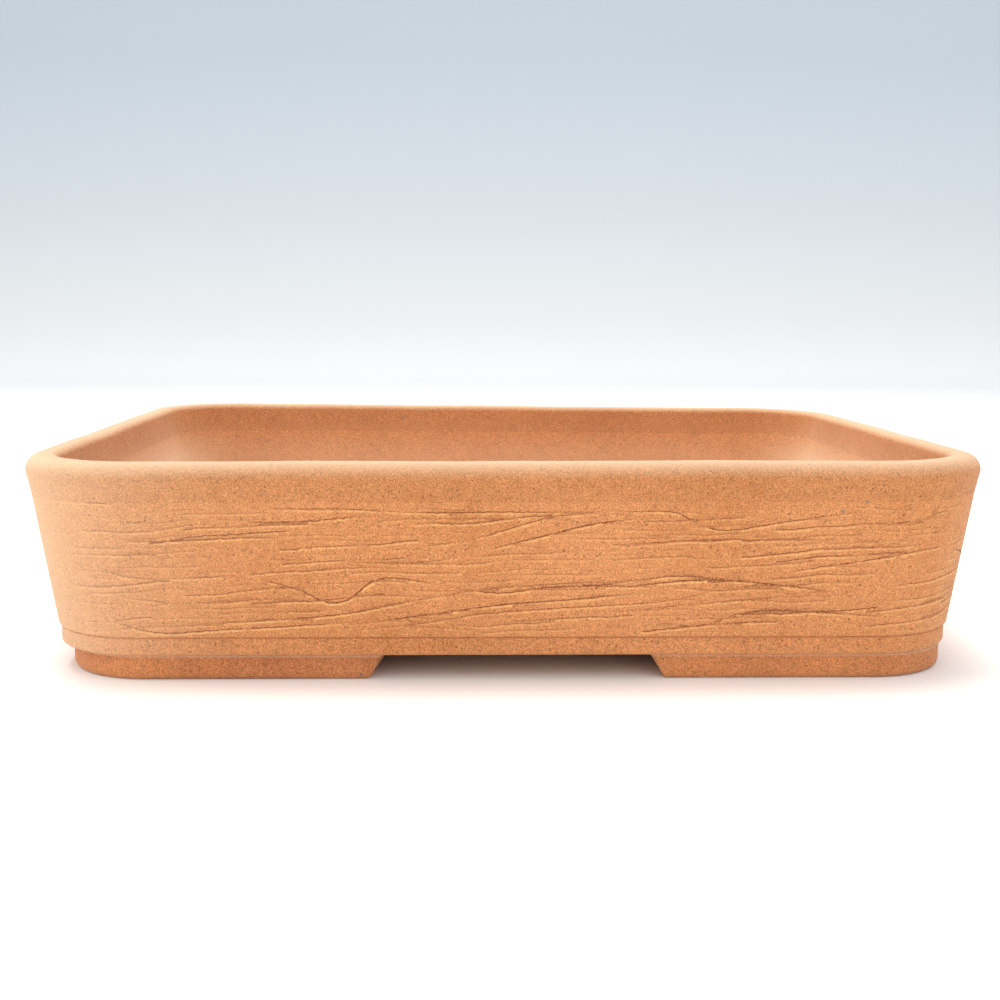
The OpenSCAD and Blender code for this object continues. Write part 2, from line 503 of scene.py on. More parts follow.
def hole_tube(hole, start):
    """A short tube with softened rims: its rings of points from the bottom up, facings and faces."""
    hx, hy, radius, steps = hole
    angle = np.linspace(0, 2 * math.pi, steps, endpoint=False)
    way = np.stack([np.cos(angle), np.sin(angle)], axis=1)
    rings = ((rim_softness, foot_height, -rim_facing), (0, foot_height + rim_softness, 0),
             (0, seam_height - rim_softness, 0), (rim_softness, seam_height, rim_facing))
    points, outward, faces = [], [], []
    for grow, height, up in rings:
        flat = np.array([hx, hy]) + way * (radius + grow)
        points += list(np.column_stack([flat, np.full(steps, height)]))
        outward += list(np.column_stack([-way * rim_facing, np.full(steps, up)]))
    for ring in range(len(rings) - 1):
        low = start + ring * steps
        high = low + steps
        faces += [[low + (k + 1) % steps, low + k, high + k, high + (k + 1) % steps] for k in range(steps)]
    return points, outward, faces


# %% Floor slab
def make_floor_slab():
    """The swept edge band, the tubes of the holes, and the two flat faces between them."""
    section = slab_edge_section()
    walks = [columns(side, slab_step) for side in SIDES]
    centre = np.vstack([walk[0][:-1] for walk in walks])
    face = np.vstack([walk[1][:-1] for walk in walks])
    walked = np.concatenate([walk[2][:-1] for walk in walks])
    count = len(centre)
    rows = len(section)
    points, outward = (list(rows_of_points) for rows_of_points in sweep(centre, face, section))
    faces = strip_faces(count, rows, close_rows=False, close_columns=True)
    # Painted light from the left on the edge band, near the corner to the left of the front.
    edge_painted_light = np.outer(left_corner_light(walked), np.clip(section[:, 2], 0, 1)).ravel()

    tube_starts = []
    for hole in holes:
        tube_starts.append(len(points))
        tube_points, tube_outward, tube_faces = hole_tube(hole, len(points))
        points += tube_points
        outward += tube_outward
        faces += tube_faces

    for top in (False, True):
        edge_row = rows - 1 if top else 0
        ids = [k * rows + edge_row for k in range(count)]
        loops = [[points[v][:2] for v in ids]]
        for start, (_, _, _, steps) in zip(tube_starts, holes):
            ring_start = start + 3 * steps if top else start
            ring = list(range(ring_start, ring_start + steps))
            loops.append([points[v][:2] for v in ring])
            ids += ring
        grid, triangles = flat_fill(loops)
        ids += list(range(len(points), len(points) + len(grid)))
        height = seam_height if top else foot_height
        for x, y in grid:
            roll_mark = roll_mark_height * math.sin(x / (19 * MM) + 2 * math.sin(y / (37 * MM)))
            points.append(np.array([x, y, height + (roll_mark if top else 0)]))
            outward.append(np.array([0, 0, 1 if top else -1]))
        for triangle in triangles:
            order = triangle if top else triangle[::-1]
            faces.append([ids[v] for v in order])
    # Painted light on the faces of the floor slab that look up.
    slip = np.where(np.array(outward)[:, 2] > 0.5, floor_top_painted_light, 0.0)
    slip[:len(edge_painted_light)] += edge_painted_light
    return make_object("floor_slab", np.array(points), faces, np.array(outward), slip=slip)


pieces["floor_slab"] = make_floor_slab()
print("floor slab faces:", len(pieces["floor_slab"].data.polygons))

# %% [markdown]
# ## The feet
#
# Each foot is an L of clay luted under one corner, which means that it is stuck on with slip. Its outer
# side follows the corner, and a fine bead of the slip stays in the joint, painted paler as a painted
# highlight. Its ends slope under and meet the slab in a small hollow where the slip was wiped away. All
# four feet come from one function, mirrored by the signs of the corner. The potter set them a little to
# the right, and cut two arms unevenly.

# %% Feet
foot_step = 0.6 * MM
sole_step = 1.5 * MM
foot_edge = 1.5 * MM
foot_outer_edge = 2.3 * MM
foot_end_round = 1.2 * MM
end_slope = 3.9 * MM
end_hollow = 1.6 * MM
foot_root = 0.3 * MM
slip_bead = 0.42 * MM
bead_proud = 0.1 * MM
bead_highlight = 0.6
base_shift = 1.3 * MM
arm_cut = {"foot_front_left": 0.6 * MM, "foot_front_right": -2.9 * MM}


def foot_section():
    """The section, and for each of its points how much painted highlight it gets on the slip bead."""
    inner = foot_reach - foot_width
    bead_middle = (foot_reach + bead_proud, foot_height - slip_bead)
    face = outline(
        bend_round((inner + foot_edge, foot_edge), foot_edge, 180, 270, 5),
        stretch((inner + foot_edge, 0), (foot_reach - foot_outer_edge, 0), sole_step, DOWN),
        bend_round((foot_reach - foot_outer_edge, foot_outer_edge), foot_outer_edge, 270, 360, 10),
        stretch((foot_reach, foot_outer_edge), (foot_reach, bead_middle[1] - slip_bead), line_step, OUT),
        bend_round(bead_middle, slip_bead, -60, 90, 8),
        stretch((foot_reach, foot_height + foot_root), (inner, foot_height + foot_root), plain_step, UP),
        stretch((inner, foot_height + foot_root), (inner, foot_edge), plain_step, IN),
    )
    near_bead = np.hypot(face[:, 0] - bead_middle[0], face[:, 1] - bead_middle[1])
    # Painted highlight along the slip bead.
    return face, bead_highlight * np.clip(2.2 - near_bead / slip_bead, 0, 1)


def arm_length(length_at_top, height):
    """How far an arm runs at each height: it slopes under, and flares out just below the slab."""
    slope = end_slope * (1 - height / foot_height)
    near_top = np.clip(1 - (foot_height - height) / end_hollow, 0, 1)
    flare = end_hollow * (1 - np.sqrt(1 - near_top ** 2))
    return length_at_top - slope + flare


print("foot section points:", len(foot_section()[0]))

# %% Four feet
def make_foot(name, sign_x, sign_y):
    """One L-shaped foot, from the end of one arm, round the corner, to the end of the other."""
    low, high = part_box(name)
    reach_x = (high.x - low.x) - foot_reach + arm_cut.get(name, 0)
    reach_y = (high.y - low.y) - foot_reach
    section, painted_light_rows = foot_section()
    height = np.clip(section[:, 1], 0, foot_height)
    bevel = np.radians(np.linspace(0, 90, 5))
    shares_x = np.linspace(0, 1, math.ceil(reach_x / foot_step))
    shares_y = np.linspace(0, 1, math.ceil(reach_y / foot_step))
    corner = np.linspace(math.pi, 1.5 * math.pi, math.ceil(foot_reach * math.pi / 2 / foot_step))
    rows = []

    def add_column(angle, along_x, along_y, inset=0.0):
        reach = section[:, 0] - inset * section[:, 2]
        lift = np.where(section[:, 3] < 0, -inset * section[:, 3], 0)
        way = np.array([math.cos(angle), math.sin(angle)])
        flat = reach[:, None] * way + np.stack([along_x, along_y], axis=1)
        outward = np.column_stack([section[:, 2:3] * way, section[:, 3]])
        rows.append((np.column_stack([flat, section[:, 1] + lift]), outward))

    nothing = np.zeros(len(section))
    end_y = arm_length(reach_y, height)
    end_x = arm_length(reach_x, height)
    for angle in bevel[::-1]:
        add_column(math.pi, nothing, end_y - foot_end_round * (1 - math.sin(angle)),
                   foot_end_round * (1 - math.cos(angle)))
    for share in shares_y[::-1][1:]:
        add_column(math.pi, nothing, share * (end_y - foot_end_round))
    for angle in corner[1:]:
        add_column(angle, nothing, nothing)
    for share in shares_x[1:]:
        add_column(1.5 * math.pi, share * (end_x - foot_end_round), nothing)
    for angle in bevel[1:]:
        add_column(1.5 * math.pi, end_x - foot_end_round * (1 - math.sin(angle)), nothing,
                   foot_end_round * (1 - math.cos(angle)))

    points = np.vstack([row[0] for row in rows]) + np.array([-run_x / 2, -run_y / 2, 0])
    outward = np.vstack([row[1] for row in rows])
    signs = np.array([sign_x, sign_y, 1])
    count = len(section)
    faces = strip_faces(len(rows), count)
    last = (len(rows) - 1) * count
    faces.append(list(range(count)))
    faces.append([last + k for k in reversed(range(count))])
    if sign_x * sign_y < 0:
        faces = [face[::-1] for face in faces]
    points = points * signs + np.array([base_shift, 0, 0])
    return make_object(name, points, faces, outward * signs, slip=np.tile(painted_light_rows, len(rows)))


for name, sign_x, sign_y in (("foot_front_left", 1, 1), ("foot_front_right", -1, 1),
                             ("foot_rear_left", 1, -1), ("foot_rear_right", -1, -1)):
    pieces[name] = make_foot(name, sign_x, sign_y)
print("foot faces:", len(pieces["foot_front_left"].data.polygons))

# %% [markdown]
# ## The dragged lines
#
# The potter pulled a toothed scraper round the damp walls. It skipped, caught on sand and lifted, so
# the lines are nearly level, they wander, fade and start again. The boldest sweeps on the front are
# drawn here as routes on the unrolled wall, in millimetres: distance to the right of the middle
# and height over the table. The same hand made the other three sides, so they repeat these routes,
# turned end for end or moved along.

# %% Bold sweeps, drawn
BOLD = [
    [(-76, 56), (-50, 56), (-27, 55), (-3, 55), (30, 55)],
    [(-79, 52), (-63, 52), (-42, 54)],
    [(-33, 53), (3, 53)],
    [(-117, 52), (-108, 52)],
    [(-116, 46), (-103, 46), (-81, 47), (-70, 47)],
    [(-124, 36), (-112, 34), (-100, 34), (-82, 35)],
    [(-77, 34), (-64, 30), (-56, 26), (-49, 27), (-43, 32), (-36, 34), (-22, 32)],
    [(-119, 28), (-101, 26), (-76, 27), (-62, 27)],
    [(-130, 22), (-120, 19), (-107, 16), (-89, 17), (-55, 19), (-42, 21)],
    [(-95, 19), (-77, 20), (-52, 22), (-27, 27)],
    [(-46, 24), (-27, 27), (-9, 30), (16, 32), (44, 33)],
    [(-46, 19), (-24, 22), (-3, 25), (22, 27), (40, 29)],
    [(-46, 17), (-27, 19), (-9, 22), (16, 24), (47, 26), (62, 29)],
    [(-27, 44), (-9, 47), (11, 53), (28, 55)],
    [(-7, 43), (9, 47), (25, 51), (40, 53)],
    [(-48, 39), (-29, 39), (-14, 41)],
    [(-18, 31), (-3, 29), (16, 31), (46, 31)],
    [(32, 55), (49, 55), (56, 52), (66, 49), (86, 52), (107, 55)],
    [(34, 44), (58, 46), (77, 46), (101, 46)],
    [(34, 31), (59, 33), (78, 32), (102, 29)],
    [(35, 23), (56, 25), (78, 27), (97, 28), (106, 28)],
    [(47, 19), (60, 18), (72, 22), (84, 23), (103, 22), (117, 21)],
    [(88, 36), (108, 39), (126, 42), (138, 43)],
    [(121, 50), (133, 54), (139, 53)],
]
print("bold sweeps:", len(BOLD), "with", sum(len(route) for route in BOLD), "points")

# %% Bold routes as edges
route_step = 1.0 * MM
route_fade = 0.4
middle_bite = 0.75
bite_swing = 0.25
side_changes = (("front", 1, 0), ("right", -1, 6 * MM), ("rear", -1, 0), ("left", 1, -8 * MM))


def smooth_route(points):
    """Passes a smooth curve through the points and returns it in steps of about a millimetre."""
    knots = np.array(points, float) * MM
    knots = np.vstack([2 * knots[0] - knots[1], knots, 2 * knots[-1] - knots[-2]])
    route = []
    for a, b, c, d in zip(knots, knots[1:], knots[2:], knots[3:]):
        steps = max(2, round(np.linalg.norm(c - b) / route_step))
        for t in np.linspace(0, 1, steps, endpoint=False):
            route.append(0.5 * (2 * b + (c - a) * t + (2 * a - 5 * b + 4 * c - d) * t ** 2
                                + (3 * b - 3 * c + d - a) * t ** 3))
    return np.array(route)


def make_bold_routes():
    """The routes of every side, as one flat mesh of edges on the unrolled wall."""
    points, edges, depth = [], [], []
    for side, flip, shift in side_changes:
        reach_of_side = (run_x if side in ("front", "rear") else run_y) / 2 + half_corner
        for rank, route in enumerate(BOLD):
            walked = smooth_route(route)
            walked[:, 0] = walked[:, 0] * flip + shift
            walked = walked[np.abs(walked[:, 0]) < reach_of_side]
            if len(walked) < 3:
                continue
            walked[:, 0] += middle_of_side[side]
            start = len(points)
            points += [(x, y, 0) for x, y in walked]
            edges += [(start + k, start + k + 1) for k in range(len(walked) - 1)]
            fade = np.sin(np.linspace(0, math.pi, len(walked))) ** route_fade
            depth += list(fade * (middle_bite + bite_swing * math.sin(rank * 2.4)))
    mesh = bpy.data.meshes.new("bold_routes")
    mesh.from_pydata(points, edges, [])
    write_point_attribute(mesh, "bite", "FLOAT", depth)
    routes = bpy.data.objects.new("bold_routes", mesh)
    bpy.context.collection.objects.link(routes)
    return routes


bold_routes = make_bold_routes()
print("bold routes:", len(bold_routes.data.vertices), "points")

# %% [markdown]
# ## A helper for node trees
#
# Every node is added by one function. A keyword in small letters is one of the node's settings, and a
# capitalised one is an input, with underscores for spaces. Other values go to the shown inputs in order.
# A value can be another node, and then its first shown output is linked.

# %% Node helper
MATH = "ShaderNodeMath"
VECTOR_MATH = "ShaderNodeVectorMath"
MAP_RANGE = "ShaderNodeMapRange"
NOISE = "ShaderNodeTexNoise"
SEPARATE = "ShaderNodeSeparateXYZ"
COMBINE = "ShaderNodeCombineXYZ"
STORE = "GeometryNodeStoreNamedAttribute"


def shown_output(node):
    """The first output that the node shows."""
    return next(output for output in node.outputs if output.enabled)


def add_node(tree, kind, *in_order, stops=(), **given):
    """Adds a node with its settings, links and colour stops, and returns it."""
    node = tree.nodes.new(kind)
    for word, value in given.items():
        if word[0].islower():
            setattr(node, word, value)
    shown = [socket for socket in node.inputs if socket.enabled]
    fed = list(zip(shown, in_order))
    for word, value in given.items():
        if word[0].isupper():
            name = word.replace("_", " ")
            fed.append((next(socket for socket in shown if socket.name == name), value))
    for socket, value in fed:
        if isinstance(value, bpy.types.Node):
            value = shown_output(value)
        if isinstance(value, bpy.types.NodeSocket):
            tree.links.new(value, socket)
        else:
            socket.default_value = value
    if stops:
        elements = node.color_ramp.elements
        while len(elements) < len(stops):
            elements.new(0.5)
        for element, (position, colour) in zip(elements, stops):
            element.position = position
            element.color = colour if isinstance(colour, tuple) else (colour, colour, colour, 1)
    return node


def new_tree(name, inputs):
    """A Geometry Nodes tree with named inputs. Returns the tree, its inputs by name and its end."""
    tree = bpy.data.node_groups.new(name, "GeometryNodeTree")
    tree.interface.new_socket("Geometry", in_out="INPUT", socket_type="NodeSocketGeometry")
    for label, kind, value in inputs:
        socket = tree.interface.new_socket(label, in_out="INPUT", socket_type="NodeSocket" + kind)
        if value is not None:
            socket.default_value = value
    tree.interface.new_socket("Geometry", in_out="OUTPUT", socket_type="NodeSocketGeometry")
    source = tree.nodes.new("NodeGroupInput")
    return tree, {socket.name: socket for socket in source.outputs}, tree.nodes.new("NodeGroupOutput")


print("node kinds with a short name:", [MATH, VECTOR_MATH, MAP_RANGE, NOISE, SEPARATE, COMBINE, STORE])

# %% [markdown]
# ## Geometry Nodes: scattered scratches
#
# Between the bold sweeps lie hundreds of fainter scratches. Multiplying each scratch's number by a
# fraction that never repeats, and keeping what is after the decimal point, spreads them evenly without
# rows. One draw sets each scratch's length, tilt and bite, so the longest ones also bite deepest.

# %% Scattered scratches
spread_along = 0.7549
spread_up = 0.5698
first_place = middle_of_side["left"] - run_y / 2 - half_corner
scratch_points = 40
shortest_share = 0.12
tilt_down = -0.05
tilt_up = 0.07
faintest_bite = 0.15
bite_range = 0.6
bite_falloff = 2.6
edge_clearance = 1.5 * MM
wander_waves_per_metre = 22


def scatter_scratches(tree, given):
    """Short wandering lines over the whole unrolled wall, each with a bite of its own."""
    seeds = add_node(tree, "GeometryNodeMeshLine", Count=given["Scratch count"])
    index = add_node(tree, "GeometryNodeInputIndex")
    share_along = add_node(tree, MATH, add_node(tree, MATH, index, spread_along, operation="MULTIPLY"),
                           operation="FRACT")
    share_up = add_node(tree, MATH, add_node(tree, MATH, index, spread_up, operation="MULTIPLY"),
                        operation="FRACT")
    walked = add_node(tree, MATH, share_along, distance_round, first_place, operation="MULTIPLY_ADD")
    height = add_node(tree, MATH, share_up, wall_top - seam_height - 2 * edge_clearance,
                      seam_height + edge_clearance, operation="MULTIPLY_ADD")
    placed = add_node(tree, "GeometryNodeSetPosition", Geometry=seeds,
                      Position=add_node(tree, COMBINE, walked, height))

    seed = given["Seed"]
    share = add_node(tree, "FunctionNodeRandomValue", data_type="FLOAT", Min=shortest_share, Max=1.0,
                     Seed=seed)
    tilt = add_node(tree, "FunctionNodeRandomValue", data_type="FLOAT", Min=tilt_down, Max=tilt_up,
                    Seed=seed)
    luck = add_node(tree, "FunctionNodeRandomValue", data_type="FLOAT", Min=0.0, Max=1.0, Seed=seed)
    length = add_node(tree, MATH, share, given["Scratch length"], operation="MULTIPLY")
    line = add_node(tree, "GeometryNodeMeshLine", Count=scratch_points,
                    Offset=(1 / (scratch_points - 1), 0, 0))
    lines = add_node(tree, "GeometryNodeInstanceOnPoints", Points=placed, Instance=line,
                     Rotation=add_node(tree, COMBINE, Z=tilt),
                     Scale=add_node(tree, VECTOR_MATH, (1, 0, 0), length, operation="SCALE"))
    rare = add_node(tree, MATH, luck, bite_falloff, operation="POWER")
    bite = add_node(tree, MATH, rare, bite_range, faintest_bite, operation="MULTIPLY_ADD")
    lines = add_node(tree, STORE, data_type="FLOAT", domain="INSTANCE", Geometry=lines, Name="bite",
                     Value=bite)
    lines = add_node(tree, "GeometryNodeRealizeInstances", lines)

    wander = add_node(tree, NOISE, noise_dimensions="3D", Scale=wander_waves_per_metre, Detail=2.0,
                      Vector=add_node(tree, "GeometryNodeInputPosition"))
    swing = add_node(tree, MATH, wander, 0.5, operation="SUBTRACT")
    rise = add_node(tree, MATH, swing, given["Wander"], operation="MULTIPLY")
    return add_node(tree, "GeometryNodeSetPosition", Geometry=lines,
                    Offset=add_node(tree, COMBINE, Y=rise))


print("scratches start", round(first_place / MM), "mm round and cover", round(distance_round / MM), "mm")

# %% [markdown]
# ## Geometry Nodes: the nearest line
#
# Each vertex asks which line is nearest on the unrolled wall, how far off it is, and how hard it bites.
# Clay tears in crumbs, so the vertex asks from a slightly wrong place. Lines also skip: a long, low
# pattern along the wall turns their bite up and down.

# %% Nearest line
crumb_size = 1.3 * MM
crumb_shake = (0.5 * MM, 0.9 * MM, 0)
skips_per_metre = (45, 420, 1)
lightest_press = 0.2


def nearest_line(tree, lines, place):
    """How far the nearest line is, how far above the vertex it lies, and its bite."""
    unrolled = add_node(tree, "GeometryNodeInputNamedAttribute", "unrolled", data_type="FLOAT_VECTOR")
    scored = add_node(tree, "GeometryNodeInputNamedAttribute", "scored", data_type="FLOAT")
    crumb = add_node(tree, NOISE, Vector=place, Scale=1 / crumb_size, Detail=2.0)
    shake = add_node(tree, VECTOR_MATH, crumb.outputs["Color"], (0.5, 0.5, 0.5), operation="SUBTRACT")
    shake = add_node(tree, VECTOR_MATH, shake, crumb_shake, operation="MULTIPLY")
    asked = add_node(tree, VECTOR_MATH, unrolled, shake, operation="ADD")

    near = add_node(tree, "GeometryNodeProximity", lines, target_element="EDGES", Sample_Position=asked)
    index = add_node(tree, "GeometryNodeSampleNearest", lines, domain="POINT", Sample_Position=asked)
    line_bite = add_node(tree, "GeometryNodeInputNamedAttribute", "bite", data_type="FLOAT")
    bite = add_node(tree, "GeometryNodeSampleIndex", lines, line_bite, index, data_type="FLOAT",
                    domain="POINT")

    stretched = add_node(tree, VECTOR_MATH, unrolled, skips_per_metre, operation="MULTIPLY")
    skip = add_node(tree, NOISE, Vector=stretched, Scale=1.0, Detail=2.0)
    pressed = add_node(tree, MAP_RANGE, skip, 0.32, 0.48, lightest_press, 1.0,
                       interpolation_type="SMOOTHSTEP")
    bite = add_node(tree, MATH, bite, pressed, operation="MULTIPLY")
    bite = add_node(tree, MATH, bite, scored, operation="MULTIPLY")
    toward = add_node(tree, VECTOR_MATH, near.outputs["Position"], asked, operation="SUBTRACT")
    above = add_node(tree, SEPARATE, toward).outputs["Y"]
    return near.outputs["Distance"], above, bite


print("lines skip about every", round(1000 / skips_per_metre[0]), "mm")

# %% [markdown]
# ## Geometry Nodes: the fired clay surface
#
# One tree finishes every piece. Close to a line the clay is pushed in. Just below the line it stands
# proud, because the scraper ploughs up a crumbly burr. Then sand lifts the whole skin by a few hundredths
# of a millimetre, except on faces that look down, which are rubbed flat on a stone so that the pot stands
# without rocking. The place of the line is kept in attributes, so that the material can draw it finely.

# %% Fired clay surface tree
burr_place = 0.75 * MM
burr_half_width = 0.45 * MM
sand_size = 1.1 * MM


def build_surface_tree():
    tree, given, result = new_tree("Fired clay surface", [
        ("Bold routes", "Object", None), ("Scratch count", "Int", 600), ("Scratch length", "Float", 42 * MM),
        ("Wander", "Float", 7 * MM), ("Line half width", "Float", 0.33 * MM),
        ("Line depth", "Float", 0.28 * MM), ("Burr height", "Float", 0.22 * MM),
        ("Sand height", "Float", 0.17 * MM), ("Seed", "Int", 7), ("Clay", "Material", None)])
    scratches = scatter_scratches(tree, given)
    bold = add_node(tree, "GeometryNodeObjectInfo", given["Bold routes"])
    lines = add_node(tree, "GeometryNodeJoinGeometry", scratches)
    tree.links.new(bold.outputs["Geometry"], lines.inputs[0])
    place = add_node(tree, "GeometryNodeInputPosition")
    far, above, bite = nearest_line(tree, lines, place)

    cut = add_node(tree, MAP_RANGE, far, 0.0, given["Line half width"], 1.0, 0.0,
                   interpolation_type="SMOOTHSTEP")
    cut = add_node(tree, MATH, cut, bite, operation="MULTIPLY")
    depth = add_node(tree, MATH, cut, given["Line depth"], operation="MULTIPLY")

    low_side = add_node(tree, MAP_RANGE, above, -0.2 * MM, 0.6 * MM, 0.15, 1.0)
    off_ridge = add_node(tree, MATH, far, burr_place, operation="SUBTRACT")
    off_ridge = add_node(tree, MATH, off_ridge, burr_half_width, operation="DIVIDE")
    off_ridge = add_node(tree, MATH, off_ridge, off_ridge, operation="MULTIPLY")
    ridge = add_node(tree, MATH, 1.0, off_ridge, operation="SUBTRACT", use_clamp=True)
    ridge = add_node(tree, MATH, ridge, low_side, operation="MULTIPLY")
    burr = add_node(tree, MATH, ridge, bite, operation="MULTIPLY")
    proud = add_node(tree, MATH, burr, given["Burr height"], operation="MULTIPLY")

    outward = add_node(tree, "GeometryNodeInputNamedAttribute", "outward", data_type="FLOAT_VECTOR")
    upward = add_node(tree, SEPARATE, outward).outputs["Z"]
    unrubbed = add_node(tree, MAP_RANGE, upward, -0.95, -0.5, 0.0, 1.0)
    sand = add_node(tree, NOISE, Vector=place, Scale=1 / sand_size, Detail=2.0)
    grit = add_node(tree, MATH, sand, 0.5, operation="SUBTRACT")
    grit = add_node(tree, MATH, grit, given["Sand height"], operation="MULTIPLY")
    grit = add_node(tree, MATH, grit, unrubbed, operation="MULTIPLY")

    lift = add_node(tree, MATH, proud, depth, operation="SUBTRACT")
    lift = add_node(tree, MATH, lift, grit, operation="ADD")
    push = add_node(tree, VECTOR_MATH, outward, lift, operation="SCALE")
    side = add_node(tree, MATH, above, -1.0, operation="MULTIPLY")
    marked = given["Geometry"]
    for name, value in (("line_side", side), ("line_far", far), ("line_bite", bite)):
        marked = add_node(tree, STORE, data_type="FLOAT", domain="POINT", Geometry=marked, Name=name,
                          Value=value)
    carved = add_node(tree, "GeometryNodeSetPosition", Geometry=marked, Offset=push)
    real = add_node(tree, "GeometryNodeRealizeInstances", carved)
    painted = add_node(tree, "GeometryNodeSetMaterial", Geometry=real, Material=given["Clay"])
    tree.links.new(painted.outputs["Geometry"], result.inputs[0])
    return tree


surface_tree = build_surface_tree()
print("surface tree nodes:", len(surface_tree.nodes))

# %% [markdown]
# ## The fired clay
#
# Sandy iron-bearing stoneware, fired in oxidation to a warm orange tan. Up close it is never one colour:
# pale quartz grains sit in a toasted body, iron specks burn through as dark brown points, and now and
# then a larger one turns slate grey. Kiln flame and clay mixing add slow drifts of colour, a few
# centimetres across. The grains are drawn at about half a millimetre, a little coarser than life, so that
# they still show.

# %% Colour of the clay
MIX = "ShaderNodeMix"
RAMP = "ShaderNodeValToRGB"
VORONOI = "ShaderNodeTexVoronoi"

drift_size = 45 * MM
mottle_size = 3.2 * MM
grain_size = 0.42 * MM
speck_spacing = 1.7 * MM
slate_spacing = 17 * MM


def srgb(code):
    """Turns a colour written as sRGB hex into the linear values that the shader wants."""
    parts = [int(code[k:k + 2], 16) / 255 for k in (1, 3, 5)]
    linear = [p / 12.92 if p <= 0.04045 else ((p + 0.055) / 1.055) ** 2.4 for p in parts]
    return (*linear, 1.0)


def sandy_colour(tree, place, grains, body, toast, sand_light):
    """The toasted body, with paler sandy mottling, and painted glints and painted shade on the grains."""
    drift = add_node(tree, NOISE, Vector=place, Scale=1 / drift_size, Detail=3.0)
    mottle = add_node(tree, NOISE, Vector=place, Scale=1 / mottle_size, Detail=4.0)
    colour = add_node(tree, RAMP, drift, stops=[(0.32, srgb(toast)), (0.68, srgb(body))])
    sandy = add_node(tree, RAMP, mottle, stops=[(0.35, 0.0), (0.75, 0.35)])
    colour = add_node(tree, MIX, sandy, colour, srgb(sand_light), data_type="RGBA")
    # Painted glints on raised grains and painted shade in low ones: this is the same noise as the grain
    # bump.
    painted_grain_glint_and_shade = add_node(tree, RAMP, grains, stops=[(0.3, 0.42), (0.5, 1.0), (0.7, 1.55)])
    return add_node(tree, MIX, 0.85, colour, painted_grain_glint_and_shade, data_type="RGBA", blend_type="MULTIPLY")


def add_specks(tree, place, colour):
    """Iron specks, in one small cell out of a few, and a rare larger one that turned slate grey."""
    cells = add_node(tree, VORONOI, Vector=place, Scale=1 / speck_spacing, Randomness=1.0)
    lucky = add_node(tree, RAMP, cells.outputs["Color"], stops=[(0.55, 0.0), (0.78, 1.0)])
    point = add_node(tree, RAMP, cells.outputs["Distance"], stops=[(0.12, 1.0), (0.27, 0.0)])
    iron = add_node(tree, MATH, lucky, point, operation="MULTIPLY")
    iron = add_node(tree, MATH, iron, 0.72, operation="MULTIPLY")
    colour = add_node(tree, MIX, iron, colour, srgb("#6b3d28"), data_type="RGBA")
    big_cells = add_node(tree, VORONOI, Vector=place, Scale=1 / slate_spacing, Randomness=1.0)
    slate = add_node(tree, RAMP, big_cells.outputs["Distance"], stops=[(0.03, 1.0), (0.055, 0.0)])
    slate = add_node(tree, MATH, slate, 0.55, operation="MULTIPLY")
    return add_node(tree, MIX, slate, colour, srgb("#7d6f68"), data_type="RGBA")


print("clay patterns in mm:", [round(v / MM, 2) for v in (drift_size, mottle_size, grain_size)])

# %% [markdown]
# ## Lines in the material
#
# A dragged line is a thin crumbly cut painted dark as painted shade, over a burr painted paler as a
# painted highlight. The mesh knows where the line runs, and the shader draws it thinner than the mesh could,
# with a torn edge.

# %% Cut and burr
crumble_size = 0.55 * MM
crumble_shift = 0.75 * MM
burr_below = 0.62 * MM
burr_reach = 0.42 * MM


def line_marks(tree, place):
    """How much each point belongs to the cut of a line, and how much to its burr."""
    line_side, far, bite = (add_node(tree, "ShaderNodeAttribute", attribute_name=name).outputs["Fac"]
                            for name in ("line_side", "line_far", "line_bite"))
    crumble = add_node(tree, NOISE, Vector=place, Scale=1 / crumble_size, Detail=2.0)
    shift = add_node(tree, MATH, crumble, 0.5, operation="SUBTRACT")
    shift = add_node(tree, MATH, shift, crumble_shift, operation="MULTIPLY")
    side = add_node(tree, MATH, line_side, shift, operation="ADD")

    across = add_node(tree, MATH, side, operation="ABSOLUTE")
    thin = add_node(tree, MAP_RANGE, across, 0.06 * MM, 0.2 * MM, 1.0, 0.0,
                    interpolation_type="SMOOTHSTEP")
    close = add_node(tree, MAP_RANGE, far, 0.25 * MM, 0.5 * MM, 1.0, 0.0)
    cut = add_node(tree, MATH, thin, close, operation="MULTIPLY")
    cut = add_node(tree, MATH, cut, bite, operation="MULTIPLY")

    under = add_node(tree, MATH, side, burr_below, operation="ADD")
    under = add_node(tree, MATH, under, burr_reach, operation="DIVIDE")
    under = add_node(tree, MATH, under, under, operation="MULTIPLY")
    ridge = add_node(tree, MATH, 1.0, under, operation="SUBTRACT", use_clamp=True)
    reach = add_node(tree, MAP_RANGE, far, 0.9 * MM, 1.3 * MM, 1.0, 0.0)
    torn = add_node(tree, MATH, crumble, 2.8, -0.65, operation="MULTIPLY_ADD", use_clamp=True)
    ridge = add_node(tree, MATH, ridge, reach, operation="MULTIPLY")
    torn = add_node(tree, MATH, bite, torn, operation="MULTIPLY")
    return cut, add_node(tree, MATH, ridge, torn, operation="MULTIPLY")


print("the cut is shifted by crumbs of up to", round(crumble_shift / 2 / MM, 2), "mm")

# %% [markdown]
# ## Stoneware
#
# Unglazed stoneware scatters light like dry earth, with next to no gloss. Its open grain is too fine for
# the mesh, so it is a bump. All four clays are one recipe in slightly different colours: the lip clay and
# the foot clay are darker, as painted shade on the lip and on the feet under the slab's overhang.

# %% Stoneware materials
fine_grain_size = 0.32 * MM
cut_in_bump = 1.3
burr_in_bump = 1.1


